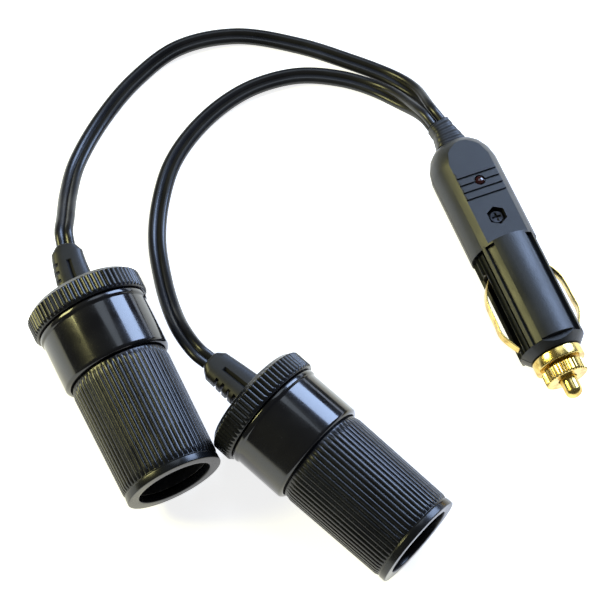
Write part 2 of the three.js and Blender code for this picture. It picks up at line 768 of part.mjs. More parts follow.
function rearContact() {
  const back = plateStation - rearStemLength;
  return piece('rear_contact', brass, turned([
    [0, back], [rearStemRadius, back], [rearStemRadius, plateStation],
    [fuseRadius, plateStation], [fuseRadius, plateStation + rearPlateThickness],
    [0, plateStation + rearPlateThickness],
  ], 20));
}

// Brass bush in the nose: a sleeve inside the shells and the bright ring in front of them
function noseBush() {
  const front = plugLength + seatGap + bushLength;
  return piece('nose_bush', brass, turned([
    [bushInner, sleeveBack], [bushOuter, sleeveBack], [bushOuter, plugLength + seatGap],
    [bushRadius, plugLength + seatGap], [bushRadius, front - 0.5],
    [bushRadius - 0.5, front], [bushInner, front], [bushInner, sleeveBack],
  ], 24));
}

// Knurled cap that screws into the bush and holds the fuse and the pin
function tipCap() {
  const back = tipCapBack - capSpigotLength;
  const face = tipCapFront - capFaceThickness;
  const knurlBack = tipCapBack + neckLength;
  const hole = pinRadius + boreGap;
  const core = turned([
    [capSpigotInner, back], [capSpigotOuter, back], [capSpigotOuter, tipCapBack],
    [neckRadius, tipCapBack], [neckRadius, knurlBack], [knurlRadius - knurlDepth, knurlBack],
    [knurlRadius - knurlDepth, tipCapFront], [hole, tipCapFront], [hole, face],
    [capSpigotInner, face], [capSpigotInner, back],
  ], 20);
  const knurl = solid(extruded(toothedRing(knurlRadius, knurlDepth - seamLap, knurlTeeth, 0,
    knurlRadius - 1), knurlBack, tipCapFront - 0.3));
  return piece('tip_cap', brass, join(core, knurl));
}

function contactPin() {
  const end = tipCapFront + pinReach;
  const profile = [[0, flangeFront - pinFlangeThickness], [fuseRadius, flangeFront - pinFlangeThickness],
    [fuseRadius, flangeFront], [pinRadius, flangeFront], [pinRadius, end - pinRadius * 0.8]];
  for (let i = 1; i < 4; i++) {
    const a = (i / 4) * (Math.PI / 2);
    profile.push([pinRadius * Math.cos(a), end - pinRadius * 0.8 * (1 - Math.sin(a))]);
  }
  profile.push([0, end]);
  return piece('contact_pin', brass, turned(profile, 24));
}

// Ground ring round the fuse, with a strip that runs back to the wires
function groundRing() {
  const ring = sleeve(ringRadius, fuseBore + 0.5, ringBack, ringFront, 32);
  const strip = block(-stripWidth / 2, stripWidth / 2, chamberEnd - 2, ringFront,
    -stripDepth - stripThickness, -stripDepth);
  return piece('ground_ring', brass, join(ring, strip));
}

// Side contact: a bowed strip. Its line is given from rear to front, as shares of the
// reach from the axis and of the pocket's length back from the ring.
function sideContact(name, side) {
  const bow = [
    [0.6371, 0.9593], [0.8065, 0.8537], [0.9435, 0.6992], [0.9798, 0.3902],
    [0.9798, 0.2439], [0.8306, 0.0813], [0.7419, seatGap / pocketLength],
  ];
  const line = bow.map(([out, back]) => [out * contactReach, ringBack - back * pocketLength]);
  const outline = new THREE.Shape();
  const half = contactThickness / 2;
  const edge = (i, sign) => {
    const [a, b] = [line[Math.max(i - 1, 0)], line[Math.min(i + 1, line.length - 1)]];
    const along = new THREE.Vector2(b[0] - a[0], b[1] - a[1]).normalize();
    const place = new THREE.Vector2(line[i][0] + sign * half * along.y, line[i][1] - sign * half * along.x);
    if (i === line.length - 1) place.y = ringBack - seatGap;
    return place;
  };
  const ring = [...line.keys()].map((i) => edge(i, 1));
  ring.push(...[...line.keys()].reverse().map((i) => edge(i, -1)));
  ring.forEach((p, i) => (i ? outline.lineTo(side * p.x, -p.y) : outline.moveTo(side * p.x, -p.y)));
  outline.closePath();
  const geometry = new THREE.ExtrudeGeometry(outline, { depth: contactWidth, bevelEnabled: false });
  geometry.translate(0, 0, -contactWidth / 2);
  return piece(name, brass, solid(geometry));
}

function plugWires() {
  const start = chamberStart - 0.4 + seatGap;
  const liveStation = chamberEnd - wireRadius - 0.35;
  const stripTop = -stripDepth + seatGap + wireRadius;
  // A point in the chamber: sideways, along it and up, as shares of its radius and length
  const at = (x, share, z) => [
    x * chamberRadius, chamberStart + share * chamberLength, z * chamberRadius];
  return [
    innerWire('plug_live_wire', redWire, [
      [0.2985 * chamberRadius, start, 0.1194 * chamberRadius], at(0.5373, 0.2467, 0.0896),
      at(0.7313, 0.58, 0.0299), at(0.7612, 0.8067, 0.0299), at(0.6716, 0.9167, 0),
      [rearStemRadius + seatGap, liveStation, 0]]),
    innerWire('plug_ground_wire', blackWire, [
      [-0.2985 * chamberRadius, start, -0.1194 * chamberRadius], at(-0.5373, 0.2467, -0.209),
      at(-0.6866, 0.58, -0.2985), at(-0.6866, 0.8067, -0.3881),
      [-0.5373 * chamberRadius, chamberStart + 0.93 * chamberLength, stripTop],
      [-0.06 * chamberRadius, liveStation + 0.1, stripTop]]),
  ];
}

function plugUnit() {
  const unit = new THREE.Group();
  unit.add(
    plugShell(true), plugShell(false), plugScrew(), led(), resistor(), plugBoot(),
    ...fuse(), fuseSpring(), rearContact(), noseBush(), tipCap(), contactPin(),
    groundRing(), sideContact('side_contact_left', -1), sideContact('side_contact_right', 1),
    ...plugWires());
  unit.rotation.order = 'ZXY';
  unit.rotation.y = degrees(plugRoll);
  setDown(unit, plugPlace);
  return unit;
}

// Cords

// Two round lobes that touch, as one outline: wide in X, thin in Y
function twinSection() {
  const shape = new THREE.Shape();
  const quarter = [[0, 0.6], [1.0, 1.0], [2.0, 0]];
  const right = [...quarter, ...[...quarter].reverse().slice(1).map(([x, y]) => [x, -y])];
  const left = [...right].reverse().slice(1, -1).map(([x, y]) => [-x, y]);
  [...right, ...left].forEach(([x, y], i) => {
    const [px, py] = [x * lobeRadius, y * lobeRadius];
    if (i === 0) shape.moveTo(px, py);
    else shape.lineTo(px, py);
  });
  shape.closePath();
  return shape;
}

// A cord: the section carried along a curve. Its wide side lies level, apart from both
// ends, where "edge" gives the share of a quarter turn that stands it on edge.
function cord(name, points, edge) {
  const curve = new THREE.CatmullRomCurve3(points, false, 'centripetal');
  curve.arcLengthDivisions = 1200;
  const geometry = new THREE.ExtrudeGeometry(twinSection(), {
    depth: 1, steps: cordSteps, bevelEnabled: false,
  });
  const up = new THREE.Vector3(0, 0, 1);
  reshape(geometry, (p) => {
    const t = THREE.MathUtils.clamp(p.z, 0, 1);
    const centre = curve.getPointAt(t);
    const along = curve.getTangentAt(t);
    const across = new THREE.Vector3().crossVectors(along, up).normalize();
    const over = new THREE.Vector3().crossVectors(across, along);
    const turn = (edge(t) * Math.PI) / 2;
    const [c, s] = [Math.cos(turn), Math.sin(turn)];
    const [x, y] = [p.x * c - p.y * s, p.x * s + p.y * c];
    p.copy(centre).addScaledVector(across, x).addScaledVector(over, y);
  });
  return piece(name, cordSheath, solid(geometry));
}

// Point and direction where a cord leaves a boot, in the layout's frame
function exitOf(unit, length, bend, sideways = 0) {
  const { point, direction } = bootEnd(length, bend);
  const across = new THREE.Vector3(direction.y, -direction.x, 0);
  const place = point.clone().add(new THREE.Vector3(0, seatGap, 0));
  place.addScaledVector(across, sideways).addScaledVector(direction, seatGap);
  return {
    place: place.applyMatrix4(unit.matrixWorld),
    direction: direction.transformDirection(unit.matrixWorld),
  };
}

function cordRoute(from, middle, to) {
  const straight = 4;
  return [
    from.place, from.place.clone().addScaledVector(from.direction, straight),
    ...middle.map(([x, y, z]) => new THREE.Vector3(x, y, z)),
    to.place.clone().addScaledVector(to.direction, straight), to.place,
  ];
}

// Hand-chosen route points between the boots
const outerRoute = [
  [61.6, 77.2, 4.6], [57.3, 86.2, 2.2], [47.2, 97.3, 1.5], [35.8, 107.6, 1.5], [19.4, 118.0, 1.5],
  [1.6, 120.8, 1.5], [-14.8, 115.2, 1.5], [-29.3, 105.6, 2.0], [-41.1, 93.3, 5.0],
  [-47.3, 82.1, 10.0], [-51.2, 72.1, 15.8],
];
const innerRoute = [
  [56.4, 75.2, 5.6], [51.7, 83.9, 2.4], [43.2, 91.9, 1.5], [31.7, 97.7, 1.5], [18.4, 99.2, 1.5],
  [6.6, 96.9, 1.5], [-5.3, 91.3, 1.5], [-14.9, 83.7, 1.5], [-22.6, 73.0, 1.5], [-27.8, 61.8, 2.4],
  [-31.0, 48.5, 5.6], [-32.7, 36.4, 10.2], [-33.0, 25.8, 15.8],
];

const plug = plugUnit();
const leftSocket = socketUnit('left', leftSocketPlace, leftBootBend);
const rightSocket = socketUnit('right', rightSocketPlace, rightBootBend);

function cords() {
  const twist = (t) => 1 - THREE.MathUtils.smoothstep(t, 0.03, 0.17);
  const half = cordGapInBoot / 2;
  const outer = cordRoute(exitOf(plug, plugBootLength, plugBootBend, half), outerRoute,
    exitOf(leftSocket, socketBootLength, leftBootBend));
  const inner = cordRoute(exitOf(plug, plugBootLength, plugBootBend, -half), innerRoute,
    exitOf(rightSocket, socketBootLength, rightBootBend));
  return [cord('cord_left', outer, twist), cord('cord_right', inner, twist)];
}

// The origin is under the middle of the plug and the sockets
const splitter = new THREE.Group();
splitter.add(plug, leftSocket, rightSocket);
splitter.updateMatrixWorld(true);
const centre = new THREE.Box3().setFromObject(splitter, true).getCenter(new THREE.Vector3());
splitter.add(...cords());
splitter.position.set(-centre.x, -centre.y, 0);

export default splitter;
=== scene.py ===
"""Dresses the car socket splitter: a fused lighter plug, two flat twin cords and two sockets.

Lengths are millimetres until a mesh is made, in the frame of the solids: +Z up from the
table, the plug's tip along -Y. A "station" is the distance along a unit's axis from its
rear face towards its mouth or tip.
"""

import json
import logging
import math
from dataclasses import dataclass
from enum import Enum
from typing import Any, Mapping, Optional, Sequence, Union

import bmesh
import bpy
import numpy as np
from mathutils import Matrix, Vector

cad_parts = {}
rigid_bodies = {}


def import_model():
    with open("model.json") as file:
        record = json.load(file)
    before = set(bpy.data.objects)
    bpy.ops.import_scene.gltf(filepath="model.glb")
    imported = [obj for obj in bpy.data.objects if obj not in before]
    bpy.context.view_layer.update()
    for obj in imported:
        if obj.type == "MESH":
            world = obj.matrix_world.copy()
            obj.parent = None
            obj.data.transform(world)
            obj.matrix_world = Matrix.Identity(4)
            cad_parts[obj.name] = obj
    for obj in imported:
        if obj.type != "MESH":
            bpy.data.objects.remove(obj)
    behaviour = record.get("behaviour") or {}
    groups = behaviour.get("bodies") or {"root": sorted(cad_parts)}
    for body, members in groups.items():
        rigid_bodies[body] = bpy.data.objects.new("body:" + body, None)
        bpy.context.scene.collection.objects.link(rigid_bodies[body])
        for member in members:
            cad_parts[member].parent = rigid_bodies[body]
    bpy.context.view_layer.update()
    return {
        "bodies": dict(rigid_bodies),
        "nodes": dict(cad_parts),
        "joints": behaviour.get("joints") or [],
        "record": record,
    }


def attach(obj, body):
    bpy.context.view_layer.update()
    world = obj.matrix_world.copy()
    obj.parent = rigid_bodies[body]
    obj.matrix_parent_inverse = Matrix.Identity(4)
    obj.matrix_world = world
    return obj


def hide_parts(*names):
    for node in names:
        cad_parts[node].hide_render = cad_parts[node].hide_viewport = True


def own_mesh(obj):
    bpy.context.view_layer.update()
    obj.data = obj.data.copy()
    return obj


LOG = logging.getLogger("splitter")
MM = 0.001
Array = np.ndarray
Colour = tuple[float, float, float]
NECK_OVERLAP = 0.5


class Body(Enum):
    """Rigid bodies that a piece can ride on."""

    ROOT = "root"
    TIP_CAP = "tip_cap"
    PIN = "contact_pin"
    LEFT_CONTACT = "side_contact_left"
    RIGHT_CONTACT = "side_contact_right"


class Slot(Enum):
    """Material slots of the record."""

    PLUG = "plug_moulding"
    SOCKET = "socket_moulding"
    COLLAR = "gloss_collar"
    BOOT = "boot_rubber"
    CORD = "cord_sheath"
    BRASS = "plated_brass"
    NICKEL = "nickel_plate"
    STEEL = "screw_steel"
    GLASS = "fuse_glass"
    LENS = "red_lens"
    RESISTOR = "resistor_body"
    FIBRE = "fibre_board"
    RED_WIRE = "red_wire"
    BLACK_WIRE = "black_wire"


# Shader graphs


@dataclass(frozen=True)
class Wire:
    """One output of a shader node, with arithmetic that adds Math nodes."""

    graph: "Graph"
    socket: Any

    def _math(self, operation: str, first: Any, second: Any) -> "Wire":
        """Adds one Math node on two values."""
        return self.graph.node("ShaderNodeMath", {"operation": operation}, {0: first, 1: second})

    def __add__(self, other: Any) -> "Wire":
        """Sum."""
        return self._math("ADD", self, other)

    __radd__ = __add__

    def __mul__(self, other: Any) -> "Wire":
        """Product."""
        return self._math("MULTIPLY", self, other)

    __rmul__ = __mul__

    def __sub__(self, other: Any) -> "Wire":
        """Difference."""
        return self._math("SUBTRACT", self, other)

    def __rsub__(self, other: Any) -> "Wire":
        """Difference from a plain number."""
        return self._math("SUBTRACT", other, self)


class Graph:
    """Node tree of one material, built through one method."""

    def __init__(self, name: str) -> None:
        """Makes an empty material with its shader and its object coordinates."""
        self.material = bpy.data.materials.new(name)
        self.material.use_nodes = True
        self.nodes = self.material.node_tree.nodes
        self.links = self.material.node_tree.links
        self.shader = self.nodes["Principled BSDF"]
        self.place = self.node("ShaderNodeTexCoord", output="Object")

    def node(self, kind: str, settings: Optional[Mapping[str, Any]] = None,
             inputs: Optional[Mapping[Union[int, str], Any]] = None,
             output: Union[int, str] = 0) -> Wire:
        """Adds a node.

        Args:
            kind: Blender's type name of the node.
            settings: properties, which are set first.
            inputs: values or wires by socket name or number.
            output: the output that is returned.

        Returns:
            The chosen output.
        """
        made = self.nodes.new(kind)
        for key, value in (settings or {}).items():
            setattr(made, key, value)
        for key, value in (inputs or {}).items():
            if isinstance(value, Wire):
                self.links.new(value.socket, made.inputs[key])
            else:
                made.inputs[key].default_value = value
        return Wire(self, made.outputs[output])

    def noise(self, size_mm: float, detail: float) -> Wire:
        """Noise with features of a real size.

        Args:
            size_mm: about the width of one feature.
            detail: octaves.

        Returns:
            Values round 0.5.
        """
        return self.node("ShaderNodeTexNoise", {}, {
            "Vector": self.place, "Scale": 1.0 / (size_mm * MM), "Detail": detail})

    def spread(self, value: Wire, low: float, high: float,
               start: float = 0.3, stop: float = 0.7) -> Wire:
        """Maps start to stop of a value onto low to high."""
        return self.node("ShaderNodeMapRange", {"clamp": True}, {
            "Value": value, "From Min": start, "From Max": stop, "To Min": low, "To Max": high})

    def tint(self, share: Wire, first: Colour, second: Colour) -> Wire:
        """Colour between two, by a share from 0 to 1."""
        return self.node("ShaderNodeMix", {"data_type": "RGBA"}, {
            0: share, 6: (*first, 1.0), 7: (*second, 1.0)}, output=2)

    def feed(self, name: str, value: Any) -> None:
        """Sets or links one socket of the shader."""
        if isinstance(value, Wire):
            self.links.new(value.socket, self.shader.inputs[name])
        else:
            self.shader.inputs[name].default_value = value

    def bump(self, height: Wire, depth_mm: float) -> None:
        """Feeds a bump of a real depth to the shader's normal."""
        self.feed("Normal", self.node("ShaderNodeBump", {}, {
            "Height": height, "Distance": depth_mm * MM, "Strength": 1.0}, output="Normal"))


# Finishes


@dataclass(frozen=True)
class Moulding:
    """Moulded plastic or rubber: fine grain, faint flow marks and a little dust."""

    name: str
    colour: Colour
    dusty: Colour
    roughness: float
    grain_mm: float
    grain_depth_mm: float
    flow_mm: float = 9.0
    dust: float = 0.12
    specular: float = 0.5
    coat: float = 0.0

    def material(self) -> bpy.types.Material:
        """Builds the node tree and returns the material."""
        graph = Graph(self.name)
        grain = graph.noise(self.grain_mm, 4.0)
        flow = graph.noise(self.flow_mm, 2.0)
        specks = graph.spread(graph.noise(0.6, 5.0), 0.0, 1.0, 0.6, 0.74)
        share = graph.spread(flow, 0.0, 0.35) + specks * self.dust
        graph.feed("Base Color", graph.tint(share, self.colour, self.dusty))
        rough = graph.spread(flow, self.roughness - 0.04, self.roughness + 0.04)
        graph.feed("Roughness", rough + specks * 0.1)
        graph.feed("Specular IOR Level", self.specular)
        graph.feed("Coat Weight", self.coat)
        graph.bump(grain + flow * 0.5, self.grain_depth_mm)
        return graph.material


@dataclass(frozen=True)
class Plating:
    """Plated or bare metal: fine marks and soft tarnish."""

    name: str
    bright: Colour
    dull: Colour
    roughness: float
    mark_mm: float = 0.25

    def material(self) -> bpy.types.Material:
        """Builds the node tree and returns the material."""
        graph = Graph(self.name)
        tarnish = graph.spread(graph.noise(2.5, 4.0), 0.0, 1.0, 0.42, 0.72)
        marks = graph.noise(self.mark_mm, 3.0)
        graph.feed("Base Color", graph.tint(tarnish, self.bright, self.dull))
        graph.feed("Metallic", 1.0)
        rough = graph.spread(marks, self.roughness - 0.05, self.roughness + 0.08)
        graph.feed("Roughness", rough + tarnish * 0.08)
        graph.bump(marks, 0.012)
        return graph.material


@dataclass(frozen=True)
class Clear:
    """Clear or tinted hard lens."""

    name: str
    colour: Colour
    roughness: float
    transmission: float

    def material(self) -> bpy.types.Material:
        """Builds the node tree and returns the material."""
        graph = Graph(self.name)
        cloud = graph.noise(0.8, 2.0)
        deep = tuple(0.55 * part for part in self.colour)
        graph.feed("Base Color", graph.tint(graph.spread(cloud, 0.0, 1.0), self.colour, deep))
        graph.feed("Roughness", graph.spread(cloud, self.roughness, self.roughness + 0.05))
        graph.feed("Transmission Weight", self.transmission)
        graph.feed("Coat Weight", 0.6)
        return graph.material


FINISHES: dict[Slot, Union[Moulding, Plating, Clear]] = {
    Slot.PLUG: Moulding("grained_charcoal", (0.009, 0.01, 0.011), (0.035, 0.037, 0.04), 0.4,
                        0.2, 0.028),
    Slot.SOCKET: Moulding("semi_gloss_black", (0.005, 0.0055, 0.007), (0.02, 0.022, 0.026), 0.24,
                          0.5, 0.004, specular=0.42),
    Slot.COLLAR: Moulding("polished_black", (0.004, 0.004, 0.005), (0.02, 0.02, 0.022), 0.15,
                          1.2, 0.002, coat=0.3),
    Slot.BOOT: Moulding("satin_rubber", (0.012, 0.012, 0.013), (0.035, 0.035, 0.038), 0.44,
                        0.3, 0.012),
    Slot.CORD: Moulding("cord_sheath_black", (0.006, 0.006, 0.007), (0.03, 0.03, 0.033), 0.3,
                        0.7, 0.006, flow_mm=14.0),
    Slot.BRASS: Plating("gold_plated_brass", (0.86, 0.66, 0.22), (0.5, 0.33, 0.08), 0.17),
    # Painted shade: the nickel's colour is set near black so the socket's bore looks dark; the
    # same colour also goes on the ground tabs and the fuse caps.
    Slot.NICKEL: Plating("nickel_darkened_as_bore_shade", (0.1, 0.1, 0.105), (0.05, 0.05, 0.05), 0.45),
    Slot.STEEL: Plating("black_steel", (0.05, 0.05, 0.053), (0.02, 0.02, 0.02), 0.42),
    Slot.GLASS: Clear("fuse_tube_glass", (0.92, 0.95, 0.96), 0.02, 1.0),
    Slot.LENS: Clear("dark_red_lens", (0.055, 0.006, 0.005), 0.05, 0.35),
    Slot.RESISTOR: Moulding("tan_lacquer", (0.42, 0.3, 0.15), (0.5, 0.4, 0.25), 0.35, 0.4, 0.01),
    Slot.FIBRE: Moulding("pressed_fibre", (0.16, 0.075, 0.03), (0.3, 0.17, 0.08), 0.75,
                         0.35, 0.03),
    Slot.RED_WIRE: Moulding("red_insulation", (0.3, 0.015, 0.012), (0.4, 0.06, 0.05), 0.38,
                            0.5, 0.005),
    Slot.BLACK_WIRE: Moulding("black_insulation", (0.008, 0.008, 0.009), (0.03, 0.03, 0.03),
                              0.38, 0.5, 0.005),
}


# Surfaces


@dataclass
class Surface:
    """Points in millimetres and the quads between them."""

    points: Array
    faces: Array

    def __add__(self, other: "Surface") -> "Surface":
        """Both surfaces as one mesh."""
        return Surface(np.vstack([self.points, other.points]),
                       np.vstack([self.faces, other.faces + len(self.points)]))


def grid(points: Array, wrap_rows: bool) -> Surface:
    """Quads between neighbours of a grid of points whose columns go all the way round.

    Args:
        points: rows x columns x 3.
        wrap_rows: joins the last row to the first.

    Returns:
        The surface.
    """
    rows, columns = points.shape[:2]
    number = np.arange(rows * columns).reshape(rows, columns)
    down = np.roll(number, -1, axis=0)
    right = np.roll(number, -1, axis=1)
    both = np.roll(down, -1, axis=1)
    quads = np.stack([number, down, both, right], axis=-1)
    quads = quads[: rows if wrap_rows else rows - 1]
    return Surface(points.reshape(-1, 3), quads.reshape(-1, 4))


def eased(corners: Sequence[tuple[float, float]], ease: float, closed: bool = True,
          steps: int = 3) -> Array:
    """Outline with rounded corners.

    Each corner becomes a quadratic curve between the two points that lie the given
    distance from it along its edges, or 45 % of a shorter edge.

    Args:
        corners: the sharp outline.
        ease: distance from a corner at which its curve starts.
        closed: whether the outline returns to its start; an open one keeps its ends.
        steps: pieces of each curve.

    Returns:
        Points of the rounded outline.
    """
    sharp = np.array(corners, float)
    before, after = np.roll(sharp, 1, axis=0) - sharp, np.roll(sharp, -1, axis=0) - sharp
    shares = [np.minimum(ease / np.linalg.norm(edge, axis=1), 0.45)[:, None]
              for edge in (before, after)]
    t = np.linspace(0, 1, steps + 1)[None, :, None]
    start, end = sharp + before * shares[0], sharp + after * shares[1]
    curves = (1 - t) ** 2 * start[:, None] + 2 * t * (1 - t) * sharp[:, None] + t**2 * end[:, None]
    if closed:
        return curves.reshape(-1, 2)
    return np.vstack([sharp[:1], curves[1:-1].reshape(-1, 2), sharp[-1:]])


def filled_in(outline: Array, longest: float) -> Array:
    """Closed outline with extra points, so that no step is longer than the given length."""
    line = np.vstack([outline, outline[:1]])
    length = np.concatenate([[0], np.cumsum(np.linalg.norm(np.diff(line, axis=0), axis=1))])
    even = np.linspace(0, length[-1], int(math.ceil(length[-1] / longest)) + 1)
    places = np.unique(np.round(np.concatenate([length, even]), 5))
    dense = np.stack([np.interp(places, length, line[:, k]) for k in (0, 1)], axis=1)
    return dense[:-1]


def ramp(value: Array, low: float, high: float) -> Array:
    """Smooth step from 0 at low to 1 at high: 3t^2 - 2t^3 of the clipped share t."""
    t = np.clip((value - low) / (high - low), 0, 1)
    return t * t * (3 - 2 * t)


@dataclass(frozen=True)
class Flutes:
    """Ribs or teeth round a turned piece, as heights at offsets within one pitch."""

    count: int
    height: float
    start: float
    stop: float
    inside: float
    fade: float
    offsets: tuple[float, ...]
    heights: tuple[float, ...]

    def angles(self) -> Array:
        """All angles: each pitch repeats the same offsets."""
        pitch = 2 * math.pi / self.count
        return ((np.arange(self.count)[:, None] + np.array(self.offsets)) * pitch).ravel()

    def rise(self, profile: Array) -> Array:
        """Extra radius over the grid: the station's share times the height at the angle."""
        radius, station = profile[:, 0], profile[:, 1]
        share = ramp(station, self.start, self.start + self.fade)
        share = share * (1 - ramp(station, self.stop - self.fade, self.stop))
        share = share * (radius > self.inside)
        return self.height * share[:, None] * np.tile(self.heights, self.count)[None, :]


def turned(profile: Array, closed: bool = True, segments: int = 112,
           flutes: Optional[Flutes] = None) -> Surface:
    """Surface of revolution about the unit's axis.

    A profile point of radius r and station s, at angle a, lies at (r cos a, -s, r sin a),
    with the flutes' rise added to r.

    Args:
        profile: radius and station of each point.
        closed: whether the profile is a ring; an open one starts and ends on the axis.
        segments: columns where there are no flutes.
        flutes: ribs or teeth.

    Returns:
        The surface.
    """
    angles = flutes.angles() if flutes else np.linspace(0, 2 * math.pi, segments, endpoint=False)
    radius = profile[:, 0][:, None] + (flutes.rise(profile) if flutes else 0.0)
    radius = radius + np.zeros_like(angles)[None, :]
    station = np.broadcast_to(profile[:, 1][:, None], radius.shape)
    points = np.stack([radius * np.cos(angles), -station, radius * np.sin(angles)], axis=-1)
    return grid(points, closed)


def swept(path: Array, across: Array, over: Array, section: Array) -> Surface:
    """Section carried along a path: centre + x across + y over, its ends closed by fans.

    Args:
        path: centres, n x 3.
        across: unit vectors of the section's x, n x 3.
        over: unit vectors of the section's y, n x 3.
        section: closed outline, m x 2.

    Returns:
        The surface.
    """
    rings = (path[:, None] + across[:, None] * section[None, :, :1]
             + over[:, None] * section[None, :, 1:])
    first, last = (np.broadcast_to(path[k], rings[0].shape)[None] for k in (0, -1))
    return grid(np.concatenate([first, rings, last]), False)


def through(points: Array, samples: int) -> Array:
    """Smooth curve through points, evenly spaced along its length.

    Between two points it is a cubic whose end slopes come from the neighbours, weighed
    by the square root of the distances between the points.

    Args:
        points: n x 3.
        samples: number of points returned.

    Returns:
        Points on the curve.
    """
    ends = (2 * points[0] - points[1], 2 * points[-1] - points[-2])
    p = np.vstack([ends[0], points, ends[1]])
    p0, p1, p2, p3 = p[:-3], p[1:-2], p[2:-1], p[3:]
    d0, d1, d2 = (np.sqrt(np.linalg.norm(b - a, axis=1))[:, None]
                  for a, b in ((p0, p1), (p1, p2), (p2, p3)))
    m1 = d1 * ((p1 - p0) / d0 - (p2 - p0) / (d0 + d1) + (p2 - p1) / d1)
    m2 = d1 * ((p2 - p1) / d1 - (p3 - p1) / (d1 + d2) + (p3 - p2) / d2)
    t = np.linspace(0, 1, 60, endpoint=False)[None, :, None]
    dense = ((2 * t**3 - 3 * t**2 + 1) * p1[:, None] + (t**3 - 2 * t**2 + t) * m1[:, None]
             + (3 * t**2 - 2 * t**3) * p2[:, None] + (t**3 - t**2) * m2[:, None])
    dense = np.vstack([dense.reshape(-1, 3), points[-1:]])
    length = np.concatenate([[0], np.cumsum(np.linalg.norm(np.diff(dense, axis=0), axis=1))])
    even = np.linspace(0, length[-1], samples)
    return np.stack([np.interp(even, length, dense[:, k]) for k in range(3)], axis=1)


@dataclass(frozen=True)
class Place:
    """Where a unit lies: its rear face's centre, and its turn, tilt and roll in degrees."""

    origin: tuple[float, float, float]
    turn: float = 0.0
    tilt: float = 0.0
    roll: float = 0.0

    def matrix(self) -> Array:
        """Rotation about Z by the turn, after X by the tilt, after Y by the roll."""
        parts = [Matrix.Rotation(math.radians(angle), 3, axis)
                 for angle, axis in ((self.turn, "Z"), (self.tilt, "X"), (self.roll, "Y"))]
        return np.array(parts[0] @ parts[1] @ parts[2])

    def put(self, surface: Surface) -> Surface:
        """The surface moved from the unit's own axes to its place."""
        return Surface(surface.points @ self.matrix().T + np.array(self.origin), surface.faces)


# Pieces


class Workshop:
    """Makes finished pieces and keeps one material for each slot."""

    def __init__(self, frame: Mapping[str, Any]) -> None:
        """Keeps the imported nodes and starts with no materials."""
        self.nodes: Mapping[str, bpy.types.Object] = frame["nodes"]
        self.materials: dict[Slot, bpy.types.Material] = {}

    def material(self, slot: Slot) -> bpy.types.Material:
        """The material of a slot, made once."""
        if slot not in self.materials:
            self.materials[slot] = FINISHES[slot].material()
        return self.materials[slot]

    def _finish(self, name: str, mesh: bpy.types.Mesh, slot: Slot, body: Body,
                nodes: Sequence[str]) -> bpy.types.Object:
        """Links a mesh as a piece that rides on a body and stands for its nodes."""
        mesh.materials.clear()
        mesh.materials.append(self.material(slot))
        piece = bpy.data.objects.new(name, mesh)
        bpy.context.scene.collection.objects.link(piece)
        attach(piece, body.value)
        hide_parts(*nodes)
        LOG.info("%s: %d faces", name, len(mesh.polygons))
        return piece

    def piece(self, name: str, surface: Surface, slot: Slot, nodes: Sequence[str],
              body: Body = Body.ROOT, sharp: float = 38.0) -> bpy.types.Object:
        """Makes a new piece from a surface.

        Args:
            name: the piece's name.
            surface: its points in the row frame, in millimetres.
            slot: its finish.
            nodes: solids it stands for.
            body: what it rides on.
            sharp: edges over this angle in degrees stay sharp.

        Returns:
            The piece.
        """
        mesh = bpy.data.meshes.new(name)
        mesh.from_pydata((surface.points * MM).tolist(), [], surface.faces.tolist())
        work = bmesh.new()
        work.from_mesh(mesh)
        bmesh.ops.remove_doubles(work, verts=work.verts, dist=1e-7)
        bmesh.ops.dissolve_degenerate(work, edges=work.edges, dist=1e-8)
        bmesh.ops.recalc_face_normals(work, faces=work.faces)
        work.to_mesh(mesh)
        work.free()
        mesh.shade_smooth()
        mesh.set_sharp_from_angle(angle=math.radians(sharp))
        return self._finish(name, mesh, slot, body, nodes)

    def softened(self, name: str, node: str, slot: Slot, edge_mm: float) -> None:
        """Makes a copy of a solid with its edges broken.

        Args:
            name: the piece's name.
            node: the solid that is copied and replaced.
            slot: its finish.
            edge_mm: width of the small bevel on its edges.
        """
        mesh = self.nodes[node].data.copy()
        mesh.name = name
        work = bmesh.new()
        work.from_mesh(mesh)
        bmesh.ops.remove_doubles(work, verts=work.verts, dist=2e-6)
        bmesh.ops.dissolve_limit(work, angle_limit=math.radians(0.8), verts=work.verts,
                                 edges=work.edges)
        work.to_mesh(mesh)
        work.free()
        mesh.shade_smooth()
        piece = self._finish(name, mesh, slot, Body.ROOT, [node])
        bevel = piece.modifiers.new("broken_edges", "BEVEL")
        bevel.width, bevel.segments = edge_mm * MM, 2
        bevel.limit_method, bevel.angle_limit = "ANGLE", math.radians(28)
        bevel.use_clamp_overlap = True
        piece.modifiers.new("even_normals", "WEIGHTED_NORMAL")

    def dress(self, node: str, slot: Slot) -> None:
        """Gives a solid whose shape is right its finish."""
        mesh = self.nodes[node].data
        mesh.materials.clear()
        mesh.materials.append(self.material(slot))
        LOG.info("%s dressed as %s", node, slot.value)


